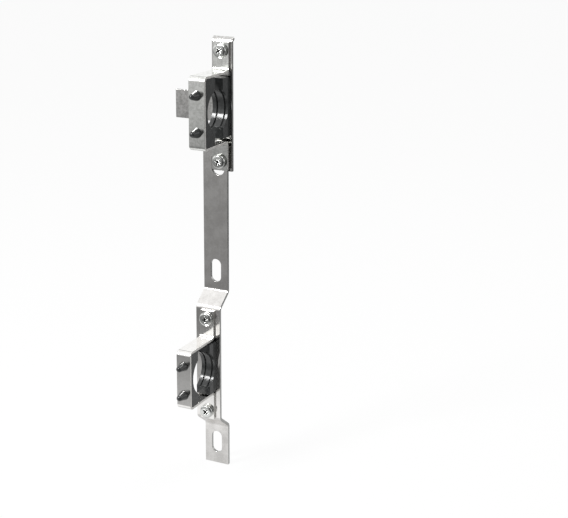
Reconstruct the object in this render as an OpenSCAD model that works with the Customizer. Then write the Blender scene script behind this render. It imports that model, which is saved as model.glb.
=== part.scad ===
// Mounting bracket for two parallel horizontal bars, one above the other.
// A slotted, joggled steel strip carries a fixed lower clamp and a height-adjustable upper clamp.
// X runs along the bars, +Y points into the wall and +Z is up.
// The origin is midway between the two wall slots, in the wall plane.

/* [Strip] */
// Width of the mounting strip
strip_w = 22; // [21:0.5:26]
// Thickness of the strip and of the upper back plate
strip_t = 2.5; // [2:0.25:3]
// Distance that the lower clamp's seat stands forward of the wall plane
joggle = 14; // [12:0.5:16]
// Height of the joggle's wall-side bends above and below the middle of the wall slots
bend_z = 61.5; // [61.5:0.5:64]
// Inner radius of the strip's bends
strip_bend_r = 2.5; // [1.5:0.5:3]

/* [Slots] */
// Width of the wall slots
slot_w = 9.5; // [8.5:0.25:10]
// End-to-end length of every slot
slot_l = 19.5; // [18:0.5:20]
// Distance between the two wall slots
wall_slot_spacing = 154; // [150:1:160]
// Width of the adjusting slot
adjust_slot_w = 11.5; // [11.5:0.25:12]
// Distance that the adjusting slot sits to the right of the strip's centre line
adjust_slot_x = 2.6; // [2.6:0.1:2.8]
// Metal beyond the wall slot at the strip's lower end
tab_margin = 9.75; // [7:0.25:12]
// Metal beyond the adjusting slot at the strip's upper end
top_margin = 4; // [3.5:0.25:4]

/* [Bars] */
// Diameter of the bars that the clamps hold
bar_d = 33.5; // [30:0.5:34]
// Distance between the two bars' centres
bar_spacing = 215; // [212:1:218]
// Height of the pivot screw above the middle of its slot
pivot_rise = 2.5; // [-4:0.5:3]
// Distance of the lower bar below the middle of the wall slots
lower_drop = 1; // [0:0.5:1.5]

/* [Upper clamp] */
// Width of the upper saddle and its pads
upper_w = 14; // [13:0.5:15]
// Outside height of the upper saddle
upper_h = 58; // [57:0.5:60]
// Distance between the upper saddle's screws
upper_screw_spacing = 88; // [88:1:92]
// Distance between the holding studs of an upper pad
upper_stud_spacing = 29; // [26:0.5:31]
// Depth of the upper front pad
upper_front_pad_depth = 14.5; // [10:0.5:15]
// Height of the upper rear pad
upper_rear_pad_h = 48; // [44:0.5:50]
// Distance that the upper clamp sits to the right of the strip's centre line
upper_x = 5.2; // [4.8:0.1:5.2]

/* [Upper back plate] */
// Width of the upper back plate
plate_w = 18; // [17:0.5:20]
// Length of the plate above the upper screw, up to its lip
plate_above = 6.5; // [6.5:0.5:12]
// Length of the plate below the lower screw
plate_below = 8.75; // [7:0.25:9]
// Length of the lip that is bent back at the plate's top
lip_l = 2.5; // [2:0.5:5]
// Angle of the lip, measured from the vertical
lip_angle = 50; // [30:5:60]
// Height of the wing
wing_h = 23; // [18:0.5:26]
// Distance of the wing's middle below the bar's centre
wing_drop = 1.5; // [0:0.5:4]
// Length of the wing beyond the plate's left edge
wing_l = 33; // [20:1:45]

/* [Lower clamp] */
// Width of the lower saddle and its pads
lower_w = 12.5; // [12:0.5:14]
// Outside height of the lower saddle
lower_h = 50; // [49.5:0.5:51]
// Distance between the lower saddle's screws
lower_screw_spacing = 82; // [82:0.5:83]
// Distance between the holding studs of a lower pad
lower_stud_spacing = 25; // [22:0.5:27]
// Depth of the lower front pad
lower_front_pad_depth = 11; // [10:0.5:14]
// Height of the lower rear pad
lower_rear_pad_h = 44; // [40:0.5:45]
// Distance that the lower rear pad sits to the right of the strip's centre line
lower_rear_pad_x = 1.5; // [0:0.25:2]

/* [Saddles] */
// Thickness of the saddle sheet
saddle_t = 2; // [1.5:0.25:2.25]
// Inner radius of the saddle's bends
saddle_bend_r = 2; // [1:0.25:2]
// Length of a foot beyond its screw
foot_end = 7; // [6:0.25:7.25]

/* [Rubber pads] */
// Least thickness of a pad, behind the middle of its hollow
pad_min_t = 2.75; // [2.25:0.25:3.5]
// Depth of a rear pad
rear_pad_depth = 11.5; // [8:0.5:12]
// Share of a rear pad's width from its left side to the middle of its left groove
left_groove_share = 0.31; // [0.25:0.01:0.35]
// Share of a rear pad's width from its left side to the middle of its right groove
right_groove_share = 0.8; // [0.65:0.01:0.85]
// Width of a groove in a pad's hollow
groove_w = 1.5; // [0.8:0.1:1.8]
// Depth of a groove in a pad's hollow
groove_depth = 1.2; // [0.5:0.1:1.5]
// Length of a stud's tapered head
stud_head_l = 9; // [8:0.5:12]
// Diameter of a stud's head where it meets the sheet
stud_head_d = 8.2; // [7.5:0.1:9]
// Diameter of a stud's rounded tip
stud_tip_d = 5; // [3:0.2:5.4]
// Diameter of a stud's neck in its hole
stud_neck_d = 6.2; // [5:0.1:6.5]

/* [Screws and nuts] */
// Thread diameter of the screws
screw_d = 6; // [5.5:0.1:6]
// Length of a screw under its head
screw_l = 14; // [13:0.5:16]
// Diameter of a screw's head
head_d = 11.5; // [10.5:0.1:12]
// Height of a screw's head
head_h = 3.8; // [3:0.1:4.5]
// Width of a nut across its flats
nut_af = 10; // [9.5:0.5:11]
// Height of a nut
nut_h = 5; // [4:0.25:5]

/* [Hidden] */
$fn = 64;

STEEL = [0.72, 0.73, 0.72];
BRIGHT_STEEL = [0.80, 0.81, 0.80];
RUBBER = [0.13, 0.14, 0.14];
ZINC = [0.78, 0.79, 0.76];

// A cut runs past both faces by this much
past = 1;
corner_r = 0.4;
lip_bend_r = 1;
// Room round a screw in its holes, and round a stud's neck in the saddle or plate
screw_room = 0.3;
neck_room = 0.1;
// Radial running fit of a screw in its nut
thread_fit = 0.05;
// Side room of a front pad between the saddle's legs, and how much rounder its corners are
pad_side_room = 0.2;
pad_corner_extra = 0.6;
// Share of a screw head's height that is straight, before the dome starts
head_rim_share = 0.42;
tip_chamfer = 0.6;
recess_span = 6.2;
recess_w = 1.4;
recess_depth = 2.2;
nut_chamfer = 0.5;

// The joggle goes 4 forward for every 3 up
joggle_angle = atan2(4, 3);

bar_r = bar_d / 2;
// Clear depth from a clamp's seat to the inside of its saddle
clamp_depth = bar_d + 2 * pad_min_t;

// Lower clamp's seat, which is the front face of the strip between its joggles
lower_seat_y = -joggle - strip_t;
lower_z = -lower_drop;
upper_z = lower_z + bar_spacing;
adjust_slot_z = upper_z - upper_screw_spacing / 2 - pivot_rise;
wall_slot_z = wall_slot_spacing / 2;

strip_bottom = -wall_slot_z - slot_l / 2 - tab_margin;
strip_top = adjust_slot_z + slot_l / 2 + top_margin;

// Sloping run between a joggle's two bends, and the joggle's whole height
bend_sum = 2 * strip_bend_r + strip_t;
slope_l = (joggle - bend_sum * (1 - cos(joggle_angle))) / sin(joggle_angle);
joggle_h = bend_sum * sin(joggle_angle) + slope_l * cos(joggle_angle);

STRAIGHT = 0;

// Steps of a bent sheet: [length, STRAIGHT] runs on, [inner radius, angle] bends to the left by the angle
// Half of the strip, from the lower clamp's centre line out to an end
function strip_half_steps(end) = [
    [bend_z - joggle_h, STRAIGHT],
    [strip_bend_r, -joggle_angle],
    [slope_l, STRAIGHT],
    [strip_bend_r, joggle_angle],
    [end - bend_z, STRAIGHT]
];

// Steps of a saddle from its lower foot to its upper one; the lower leg is shorter by the step
function saddle_steps(h, screw_spacing, step) =
    let (
        inside_h = h - 2 * saddle_t,
        outer_r = saddle_bend_r + saddle_t,
        foot_l = screw_spacing / 2 + foot_end - inside_h / 2 - outer_r,
        leg_l = clamp_depth - outer_r - saddle_bend_r
    ) [
        [foot_l, STRAIGHT],
        [saddle_bend_r, 90],
        [leg_l - step, STRAIGHT],
        [saddle_bend_r, -90],
        [inside_h - 2 * saddle_bend_r, STRAIGHT],
        [saddle_bend_r, -90],
        [leg_l, STRAIGHT],
        [saddle_bend_r, 90],
        [foot_l, STRAIGHT]
    ];

function plate_steps() = [
    [plate_below + upper_screw_spacing + plate_above, STRAIGHT],
    [lip_bend_r, -lip_angle],
    [lip_l, STRAIGHT]
];

// Ring between two radii, from one angle to another
module ring_sector(r_in, r_out, from, to) {
    reach = 2 * r_out;
    middle = (from + to) / 2;
    intersection() {
        difference() {
            circle(r_out);
            circle(r_in);
        }
        polygon([
            [0, 0],
            reach * [cos(from), sin(from)],
            reach * [cos(middle), sin(middle)],
            reach * [cos(to), sin(to)]
        ]);
    }
}

// Edge view of a bent sheet that starts along +x with its thickness to the left
module sheet_path(steps, t, i = 0) {
    if (i < len(steps)) {
        size = steps[i][0];
        turn = steps[i][1];
        if (turn == STRAIGHT) {
            square([size, t]);
            translate([size, 0]) sheet_path(steps, t, i + 1);
        } else {
            centre = turn > 0 ? t + size : -size;
            start = turn > 0 ? -90 : 90;
            translate([0, centre]) {
                ring_sector(size, size + t, min(start, start + turn), max(start, start + turn));
                rotate(turn) translate([0, -centre]) sheet_path(steps, t, i + 1);
            }
        }
    }
}

// Gives an edge view its width, with its start at a point of the Y-Z plane, its +x up and its left to -Y
module rising_sheet(w, y, z) {
    rotate([90, 0, 90])
        linear_extrude(height = w, center = true)
            translate([y, z]) rotate(90) children();
}

module rounded_rectangle(w, h, r) {
    square([w - 2 * r, h], center = true);
    square([w, h - 2 * r], center = true);
    for (sx = [-1, 1], sz = [-1, 1])
        translate([sx * (w / 2 - r), sz * (h / 2 - r)]) circle(r);
}

// Plate outline in the X-Z plane between two depths
module face_outline(w, z_low, z_high, y_front, y_back) {
    translate([0, y_back, (z_low + z_high) / 2])
        rotate([90, 0, 0])
            linear_extrude(height = y_back - y_front)
                rounded_rectangle(w, z_high - z_low, corner_r);
}

// Round bar or hole along +Y
module along_y(d, y, l) {
    translate([0, y, 0]) rotate([-90, 0, 0]) cylinder(d = d, h = l);
}

// Vertical slot through the strip in the wall plane
module slot_cut(x, z, w) {
    half_run = (slot_l - w) / 2;
    depth = strip_t + 2 * past;
    translate([x, -strip_t - past, z]) {
        for (s = [-1, 1]) translate([0, 0, s * half_run]) along_y(w, 0, depth);
        translate([-w / 2, 0, -half_run]) cube([w, depth, 2 * half_run]);
    }
}

// Clearance holes of a clamp through its seat: two for the screws and two for the rear pad's studs
module seat_holes(screw_spacing, stud_spacing, stud_x) {
    for (s = [-1, 1]) {
        translate([0, -past, s * screw_spacing / 2])
            along_y(screw_d + 2 * screw_room, 0, strip_t + 2 * past);
        translate([stud_x, -past, s * stud_spacing / 2])
            along_y(stud_neck_d + 2 * neck_room, 0, strip_t + 2 * past);
    }
}

// Hat-shaped saddle, its seat at y = 0 and the bar's centre at z = 0
module saddle(w, h, screw_spacing, stud_spacing, step) {
    reach = screw_spacing / 2 + foot_end;
    difference() {
        intersection() {
            rising_sheet(w, -step, -reach) sheet_path(saddle_steps(h, screw_spacing, step), saddle_t);
            face_outline(w, -reach, reach, -clamp_depth - 2 * saddle_t, past);
        }
        for (s = [-1, 1]) {
            translate([0, 0, s * screw_spacing / 2])
                along_y(screw_d + 2 * screw_room, -step - saddle_t - past, step + saddle_t + 2 * past);
            translate([0, -clamp_depth - saddle_t, s * stud_spacing / 2])
                along_y(stud_neck_d + 2 * neck_room, -past, saddle_t + 2 * past);
        }
    }
}

// Holding stud that points along -Y from a pad's back through a sheet
module stud(sheet_t) {
    taper_l = stud_head_l - stud_tip_d / 2;
    rotate([90, 0, 0]) {
        translate([0, 0, -pad_min_t / 2]) cylinder(d = stud_neck_d, h = sheet_t + pad_min_t);
        translate([0, 0, sheet_t]) {
            cylinder(d1 = stud_head_d, d2 = stud_tip_d, h = taper_l);
            translate([0, 0, taper_l]) sphere(d = stud_tip_d);
        }
    }
}

// Half of a clamp's rubber lining: its back lies on y = 0 and its hollow opens towards +Y
// A rear pad is this moulding turned half round, so its left groove is on this one's right
module pad(w, h, depth, stud_spacing, sheet_t) {
    r = saddle_bend_r + pad_corner_extra;
    difference() {
        rotate([90, 0, 90]) linear_extrude(height = w, center = true) {
            translate([r, -h / 2]) square([depth - r, h]);
            translate([0, -h / 2 + r]) square([depth, h - 2 * r]);
            for (s = [-1, 1]) translate([r, s * (h / 2 - r)]) circle(r);
        }
        translate([0, bar_r + pad_min_t, 0]) rotate([0, 90, 0]) {
            cylinder(r = bar_r, h = w + 2 * past, center = true);
            for (share = [left_groove_share, right_groove_share])
                translate([0, 0, w * (0.5 - share)])
                    cylinder(r = bar_r + groove_depth, h = groove_w, center = true);
        }
    }
    for (s = [-1, 1]) translate([0, 0, s * stud_spacing / 2]) stud(sheet_t);
}

module front_pad(w, saddle_h, depth, stud_spacing) {
    translate([0, -clamp_depth, 0])
        pad(w, saddle_h - 2 * saddle_t - 2 * pad_side_room, depth, stud_spacing, saddle_t);
}

module rear_pad(w, h, stud_spacing) {
    rotate([0, 0, 180]) pad(w, h, rear_pad_depth, stud_spacing, strip_t);
}

// Pan-head screw with a cross recess, its head's underside at y = 0 and its shank along +Y
module screw() {
    rim_h = head_h * head_rim_share;
    dome_h = head_h - rim_h;
    dome_r = (pow(head_d / 2, 2) + pow(dome_h, 2)) / (2 * dome_h);
    difference() {
        union() {
            along_y(screw_d, 0, screw_l - tip_chamfer);
            translate([0, screw_l - tip_chamfer, 0]) rotate([-90, 0, 0])
                cylinder(d1 = screw_d, d2 = screw_d - 2 * tip_chamfer, h = tip_chamfer);
            rotate([90, 0, 0]) rotate_extrude() intersection() {
                square([head_d / 2, head_h]);
                translate([0, head_h - dome_r]) circle(dome_r);
            }
        }
        translate([0, -head_h, 0]) for (turn = [45, 135])
            rotate([0, turn, 0])
                translate([-recess_span / 2, -past, -recess_w / 2])
                    cube([recess_span, past + recess_depth, recess_w]);
    }
}

// Hexagon nut with chamfered corners, its front face at y = 0
module nut() {
    corner_d = nut_af / cos(30);
    rotate([-90, 0, 0]) difference() {
        intersection() {
            cylinder(d = corner_d, h = nut_h, $fn = 6);
            rotate_extrude() polygon([
                [0, 0], [nut_af / 2, 0], [corner_d / 2, nut_chamfer],
                [corner_d / 2, nut_h - nut_chamfer], [nut_af / 2, nut_h], [0, nut_h]
            ]);
        }
        translate([0, 0, -past]) cylinder(d = screw_d + 2 * thread_fit, h = nut_h + 2 * past);
    }
}

module at_lower_clamp() {
    translate([0, lower_seat_y, lower_z]) children();
}

module at_upper_clamp() {
    translate([upper_x, 0, upper_z]) children();
}

module mounting_strip() {
    color(STEEL) difference() {
        intersection() {
            rising_sheet(strip_w, -joggle, 0) {
                sheet_path(strip_half_steps(strip_top), strip_t);
                mirror([1, 0]) sheet_path(strip_half_steps(-strip_bottom), strip_t);
            }
            face_outline(strip_w, strip_bottom, strip_top, lower_seat_y - past, past);
        }
        for (s = [-1, 1]) slot_cut(0, s * wall_slot_z, slot_w);
        slot_cut(adjust_slot_x, adjust_slot_z, adjust_slot_w);
        at_lower_clamp() seat_holes(lower_screw_spacing, lower_stud_spacing, lower_rear_pad_x);
    }
}

module lower_saddle() {
    color(BRIGHT_STEEL) at_lower_clamp()
        saddle(lower_w, lower_h, lower_screw_spacing, lower_stud_spacing, 0);
}

module lower_front_pad() {
    color(RUBBER) at_lower_clamp()
        front_pad(lower_w, lower_h, lower_front_pad_depth, lower_stud_spacing);
}

module lower_rear_pad() {
    color(RUBBER) at_lower_clamp() translate([lower_rear_pad_x, 0, 0])
        rear_pad(lower_w, lower_rear_pad_h, lower_stud_spacing);
}

module lower_top_screw() {
    color(ZINC) at_lower_clamp() translate([0, -saddle_t, lower_screw_spacing / 2]) screw();
}

module lower_bottom_screw() {
    color(ZINC) at_lower_clamp() translate([0, -saddle_t, -lower_screw_spacing / 2]) screw();
}

module lower_top_nut() {
    color(ZINC) at_lower_clamp() translate([0, strip_t, lower_screw_spacing / 2]) nut();
}

module lower_bottom_nut() {
    color(ZINC) at_lower_clamp() translate([0, strip_t, -lower_screw_spacing / 2]) nut();
}

// The upper plate lies behind the strip's end, which is held between the plate and the saddle's lower foot
module upper_back_plate() {
    plate_bottom = -upper_screw_spacing / 2 - plate_below;
    color(STEEL) at_upper_clamp() difference() {
        union() {
            rising_sheet(plate_w, strip_t, plate_bottom) sheet_path(plate_steps(), strip_t);
            translate([-(plate_w + wing_l) / 2, 0, -wing_drop])
                face_outline(wing_l + 2 * corner_r, -wing_h / 2, wing_h / 2, 0, strip_t);
        }
        seat_holes(upper_screw_spacing, upper_stud_spacing, 0);
    }
}

module upper_saddle() {
    color(BRIGHT_STEEL) at_upper_clamp()
        saddle(upper_w, upper_h, upper_screw_spacing, upper_stud_spacing, strip_t);
}

module upper_front_pad() {
    color(RUBBER) at_upper_clamp()
        front_pad(upper_w, upper_h, upper_front_pad_depth, upper_stud_spacing);
}

module upper_rear_pad() {
    color(RUBBER) at_upper_clamp() rear_pad(upper_w, upper_rear_pad_h, upper_stud_spacing);
}

module upper_top_screw() {
    color(ZINC) at_upper_clamp() translate([0, -saddle_t, upper_screw_spacing / 2]) screw();
}

module upper_pivot_screw() {
    color(ZINC) at_upper_clamp()
        translate([0, -strip_t - saddle_t, -upper_screw_spacing / 2]) screw();
}

module upper_top_nut() {
    color(ZINC) at_upper_clamp() translate([0, strip_t, upper_screw_spacing / 2]) nut();
}

module upper_pivot_nut() {
    color(ZINC) at_upper_clamp() translate([0, strip_t, -upper_screw_spacing / 2]) nut();
}

mounting_strip();
lower_saddle();
lower_front_pad();
lower_rear_pad();
lower_top_screw();
lower_bottom_screw();
lower_top_nut();
lower_bottom_nut();
upper_back_plate();
upper_saddle();
upper_front_pad();
upper_rear_pad();
upper_top_screw();
upper_pivot_screw();
upper_top_nut();
upper_pivot_nut();
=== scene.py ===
"""Dressed model of a wall bracket that holds two parallel bars.

A slotted, joggled steel strip carries a fixed lower clamp, and an upper clamp that slides and swivels.
"""
import logging
import math
from collections.abc import Callable, Sequence
from dataclasses import dataclass
from enum import Enum

import bpy
from mathutils import Matrix, Vector


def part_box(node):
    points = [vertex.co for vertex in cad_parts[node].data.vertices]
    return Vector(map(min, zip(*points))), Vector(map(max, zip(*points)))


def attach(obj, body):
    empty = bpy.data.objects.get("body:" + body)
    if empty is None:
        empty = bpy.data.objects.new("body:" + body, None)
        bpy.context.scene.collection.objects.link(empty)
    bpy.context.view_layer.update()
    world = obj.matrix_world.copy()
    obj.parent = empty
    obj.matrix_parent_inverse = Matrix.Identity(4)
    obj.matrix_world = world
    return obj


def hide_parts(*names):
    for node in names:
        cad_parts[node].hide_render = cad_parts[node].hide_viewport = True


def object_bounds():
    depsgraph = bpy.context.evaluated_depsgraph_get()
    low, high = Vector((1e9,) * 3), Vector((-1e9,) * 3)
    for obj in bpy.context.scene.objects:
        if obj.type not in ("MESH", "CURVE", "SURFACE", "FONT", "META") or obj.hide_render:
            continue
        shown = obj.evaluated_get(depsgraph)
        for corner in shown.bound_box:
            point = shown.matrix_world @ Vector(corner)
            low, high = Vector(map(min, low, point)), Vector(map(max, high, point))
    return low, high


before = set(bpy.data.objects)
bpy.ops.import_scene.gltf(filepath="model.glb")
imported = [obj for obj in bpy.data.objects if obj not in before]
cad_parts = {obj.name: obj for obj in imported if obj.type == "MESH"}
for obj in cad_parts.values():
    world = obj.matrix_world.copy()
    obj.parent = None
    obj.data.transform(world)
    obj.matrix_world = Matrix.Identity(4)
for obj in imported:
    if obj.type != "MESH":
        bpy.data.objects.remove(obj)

LOG = logging.getLogger("bracket")
CAD_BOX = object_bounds()

Colour = tuple[float, float, float]
Direction = tuple[float, float, float]
Window = tuple[float, float]
Stop = tuple[float, float]

MM = 0.001
FULL_TURN = 360
ORIGIN = (0.0, 0.0, 0.0)
X_AXIS = (1.0, 0.0, 0.0)
Y_AXIS = (0.0, 1.0, 0.0)
Z_AXIS = (0.0, 0.0, 1.0)
BLACK = (0.0, 0.0, 0.0)
WHITE = (1.0, 1.0, 1.0)

# Directions in which the mirrored surroundings change
AHEAD = (0.0, -1.0, 0.0)
TOWARDS_FRONT = (-0.43, -0.90, 0.0)
TOWARDS_RIGHT = (0.90, -0.43, 0.0)

# Sizes that more than one piece shares
PLATE_T = 2.5 * MM
LOWER_STUDS = 25 * MM
UPPER_STUDS = 29 * MM

# Points closer than MERGE are one point, and a point within NEAR of a place is at that place
MERGE = 1e-7
NEAR = 0.05 * MM

# How far the middle of a rounding stands off its two sides, as a share of its radius
ROUND_MID = 0.3


class Pick(Enum):
    """What a selection is made of."""

    POINTS = "VERT"
    EDGES = "EDGE"
    FACES = "FACE"


class Join(Enum):
    """How one solid acts on another."""

    ADD = "UNION"
    CUT = "DIFFERENCE"
    KEEP = "INTERSECT"


class MixSocket(Enum):
    """Numbers of a Mix node's sockets for colours."""

    AMOUNT = 0
    LOW = 6
    HIGH = 7
    RESULT = 2


class Val:
    """A shader socket that takes part in Python arithmetic."""

    def __init__(self, graph: "Graph", socket: bpy.types.NodeSocket) -> None:
        """Keep the socket and the graph that it belongs to."""
        self.graph = graph
        self.socket = socket

    def at(self, output: str | int) -> "Val":
        """Another output of the same node."""
        return Val(self.graph, self.socket.node.outputs[output])

    def calc(self, operation: str, *values: "Val | float") -> "Val":
        """A Math node on the given values."""
        return self.graph.node("ShaderNodeMath", {"operation": operation}, dict(enumerate(values)))

    def __add__(self, other: "Val | float") -> "Val":
        """Sum."""
        return self.calc("ADD", self, other)

    def __radd__(self, other: float) -> "Val":
        """Sum, reflected."""
        return self.calc("ADD", other, self)

    def __sub__(self, other: "Val | float") -> "Val":
        """Difference."""
        return self.calc("SUBTRACT", self, other)

    def __rsub__(self, other: float) -> "Val":
        """Difference, reflected."""
        return self.calc("SUBTRACT", other, self)

    def __mul__(self, other: "Val | float") -> "Val":
        """Product."""
        return self.calc("MULTIPLY", self, other)

    def __rmul__(self, other: float) -> "Val":
        """Product, reflected."""
        return self.calc("MULTIPLY", other, self)

    def larger(self, other: "Val | float") -> "Val":
        """The larger of two values."""
        return self.calc("MAXIMUM", self, other)


class Graph:
    """The node tree of a material or of the world."""

    def __init__(self, tree: bpy.types.NodeTree) -> None:
        """Start from an empty tree."""
        self.tree = tree
        tree.nodes.clear()

    def node(self, kind: str, settings: dict | None = None, sockets: dict | None = None) -> Val | None:
        """Add any node.

        Args:
            kind: The node's type.
            settings: Properties to set first; "stops" holds a ramp's positions and levels.
            sockets: Values or links of the inputs, by name or number.

        Returns:
            The node's first output, if it has one.
        """
        made = self.tree.nodes.new(kind)
        for key, value in (settings or {}).items():
            if key == "stops":
                self.set_stops(made.color_ramp, value)
            else:
                setattr(made, key, value)
        for key, value in (sockets or {}).items():
            if isinstance(value, Val):
                self.tree.links.new(value.socket, made.inputs[key])
            else:
                made.inputs[key].default_value = value
        return Val(self, made.outputs[0]) if made.outputs else None

    @staticmethod
    def set_stops(ramp: bpy.types.ColorRamp, stops: Sequence[Stop]) -> None:
        """Give a ramp its grey stops.

        Args:
            ramp: The ramp to set.
            stops: Positions with their grey levels.
        """
        ramp.elements[0].position = stops[0][0]
        ramp.elements[1].position = stops[-1][0]
        for place, _ in stops[1:-1]:
            ramp.elements.new(place)
        for element, (_, level) in zip(ramp.elements, stops):
            element.color = (level, level, level, 1.0)

    def noise(self, place: Val, size: float, detail: float = 2.0, roughness: float = 0.5) -> Val:
        """Noise whose features are about one size across, in metres."""
        sockets = {"Vector": place, "Scale": 1.0 / size, "Detail": detail, "Roughness": roughness}
        return self.node("ShaderNodeTexNoise", {"noise_dimensions": "3D"}, sockets)

    def ramp(self, value: Val, *stops: Stop) -> Val:
        """A grey ramp over a value."""
        return self.node("ShaderNodeValToRGB", {"stops": stops}, {"Fac": value})

    def window(self, value: Val, ends: Window) -> Val:
        """A ramp from 0 at one end of a window to 1 at the other."""
        return self.ramp(value, (ends[0], 0.0), (ends[1], 1.0))

    def blend(self, amount: Val, low: Colour, high: Colour) -> Val:
        """A colour between two colours."""
        ends = {MixSocket.AMOUNT.value: amount, MixSocket.LOW.value: (*low, 1.0),
                MixSocket.HIGH.value: (*high, 1.0)}
        return self.node("ShaderNodeMix", {"data_type": "RGBA"}, ends).at(MixSocket.RESULT.value)

    def place(self, stretch: tuple[float, float, float] = (1.0, 1.0, 1.0)) -> Val:
        """Object coordinates, stretched along the axes."""
        coords = self.node("ShaderNodeTexCoord").at("Object")
        return self.node("ShaderNodeMapping", {"vector_type": "POINT"}, {"Vector": coords, "Scale": stretch})

    def along(self, place: Val, direction: Direction) -> Val:
        """How far a place lies along a direction."""
        dot = self.node("ShaderNodeVectorMath", {"operation": "DOT_PRODUCT"}, {0: place, 1: direction})
        return dot.at("Value")

    def bump(self, height: Val, strength: float, distance: float) -> Val:
        """A surface normal raised by a height."""
        sockets = {"Height": height, "Strength": strength, "Distance": distance}
        return self.node("ShaderNodeBump", None, sockets)

    def sight(self) -> tuple[Val, Val]:
        """Whether the eye looks, straight or through a clear thing, and whether a mirror does."""
        path = self.node("ShaderNodeLightPath")
        return path.at("Is Camera Ray").larger(path.at("Is Transmission Ray")), path.at("Is Glossy Ray")


@dataclass(frozen=True)
class Finish:
    """A surface finish that makes one procedural material."""

    name: str

    def shade(self, graph: Graph) -> Val:
        """Build the shader of this finish."""
        raise NotImplementedError

    def material(self) -> bpy.types.Material:
        """Make the material, or find it if it is made already.

        Returns:
            The finish's material.
        """
        found = bpy.data.materials.get(self.name)
        if found is not None:
            return found
        made = bpy.data.materials.new(self.name)
        made.use_nodes = True
        graph = Graph(made.node_tree)
        graph.node("ShaderNodeOutputMaterial", None, {"Surface": self.shade(graph)})
        return made


@dataclass(frozen=True)
class TwoTone(Finish):
    """A finish whose colour wanders between a dark and a light one."""

    dark: Colour
    light: Colour

    def surface(self, graph: Graph, tone: Val, roughness: Val, normal: Val, **plain: float) -> Val:
        """The surface shader, from what varies over it and its plain values.

        Args:
            graph: The material's nodes.
            tone: 0 where the colour is dark and 1 where it is light.
            roughness: The surface's roughness.
            normal: The surface's normal.
            plain: Other sockets that are the same all over.

        Returns:
            The shader.
        """
        return graph.node("ShaderNodeBsdfPrincipled", None, {
            "Base Color": graph.blend(tone, self.dark, self.light),
            "Roughness": roughness,
            "Normal": normal,
            **plain,
        })


@dataclass(frozen=True)
class PlatedSheet(TwoTone):
    """Bright-plated sheet steel with a fine mottled grain and faint rolling streaks."""

    smooth: float = 0.06
    dull: float = 0.16
    mottle: float = 2.4 * MM
    cloud: float = 9 * MM
    grain: float = 0.4 * MM
    streak: float = 0.5 * MM
    streak_squeeze: float = 0.03
    speck: float = 1.1 * MM
    speck_window: Window = (0.66, 0.74)
    speck_strength: float = 0.9
    mottle_share: float = 0.6
    streak_share: float = 0.15
    tone_window: Window = (0.41, 0.59)
    gloss_window: Window = (0.35, 0.65)
    relief: float = 0.012 * MM
    relief_strength: float = 0.6

    def shade(self, graph: Graph) -> Val:
        """Mottled colour and gloss over a faint orange peel.

        Args:
            graph: The material's nodes.

        Returns:
            The shader.
        """
        place = graph.place()
        mottle = graph.noise(place, self.mottle, detail=4.0, roughness=0.65)
        cloud = graph.noise(place, self.cloud)
        grain = graph.noise(place, self.grain, detail=3.0, roughness=0.6)
        streaks = graph.noise(graph.place((1.0, 1.0, self.streak_squeeze)), self.streak)
        specks = graph.window(graph.noise(place, self.speck, detail=1.0), self.speck_window)
        cloud_share = 1 - self.streak_share - self.mottle_share
        uneven = self.mottle_share * mottle + cloud_share * cloud + self.streak_share * streaks
        tone = graph.window(uneven, self.tone_window)
        gloss = graph.window(0.6 * mottle + 0.4 * grain, self.gloss_window)
        roughness = self.smooth + (self.dull - self.smooth) * gloss
        height = 0.8 * mottle + 0.1 * grain + 0.1 * streaks
        normal = graph.bump(height, self.relief_strength, self.relief)
        return self.surface(graph, tone.larger(specks * self.speck_strength), roughness, normal,
                            Metallic=1.0)


@dataclass(frozen=True)
class ShearedEdge(TwoTone):
    """Cut edge of plated sheet: fine tears under a slightly uneven gloss."""

    dull: float = 0.2
    spread: float = 0.15
    tear: float = 0.5 * MM
    cloud: float = 4 * MM
    tone_window: Window = (0.36, 0.64)
    relief: float = 0.03 * MM
    relief_strength: float = 0.3

    def shade(self, graph: Graph) -> Val:
        """Tears and clouds that dull the edge where they are light.

        Args:
            graph: The material's nodes.

        Returns:
            The shader.
        """
        place = graph.place()
        tear = graph.noise(place, self.tear, detail=4.0, roughness=0.7)
        cloud = graph.noise(place, self.cloud)
        tone = graph.window(0.6 * tear + 0.4 * cloud, self.tone_window)
        return self.surface(graph, tone, self.dull + self.spread * tone,
                            graph.bump(tear, self.relief_strength, self.relief), Metallic=1.0)


@dataclass(frozen=True)
class MouldedRubber(TwoTone):
    """Satin black rubber with a faint bloom and the fine texture of its mould."""

    smooth: float = 0.11
    bloom_dull: float = 0.07
    dust_dull: float = 0.1
    grain: float = 0.35 * MM
    bloom: float = 3.5 * MM
    dust: float = 0.6 * MM
    dust_window: Window = (0.62, 0.74)
    dust_strength: float = 0.8
    tone_window: Window = (0.34, 0.68)
    ior: float = 1.54
    relief: float = 0.04 * MM
    relief_strength: float = 0.2

    def shade(self, graph: Graph) -> Val:
        """Dusty bloom over a soft satin skin.

        Args:
            graph: The material's nodes.

        Returns:
            The shader.
        """
        place = graph.place()
        grain = graph.noise(place, self.grain, detail=4.0, roughness=0.6)
        bloom = graph.noise(place, self.bloom, detail=4.0, roughness=0.6)
        dust = graph.window(graph.noise(place, self.dust, detail=1.0), self.dust_window)
        tone = graph.window(0.75 * bloom + 0.25 * grain, self.tone_window)
        roughness = self.smooth + self.bloom_dull * tone + self.dust_dull * dust
        normal = graph.bump(0.6 * grain + 0.4 * bloom, self.relief_strength, self.relief)
        return self.surface(graph, tone.larger(dust * self.dust_strength), roughness, normal, IOR=self.ior)


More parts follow.
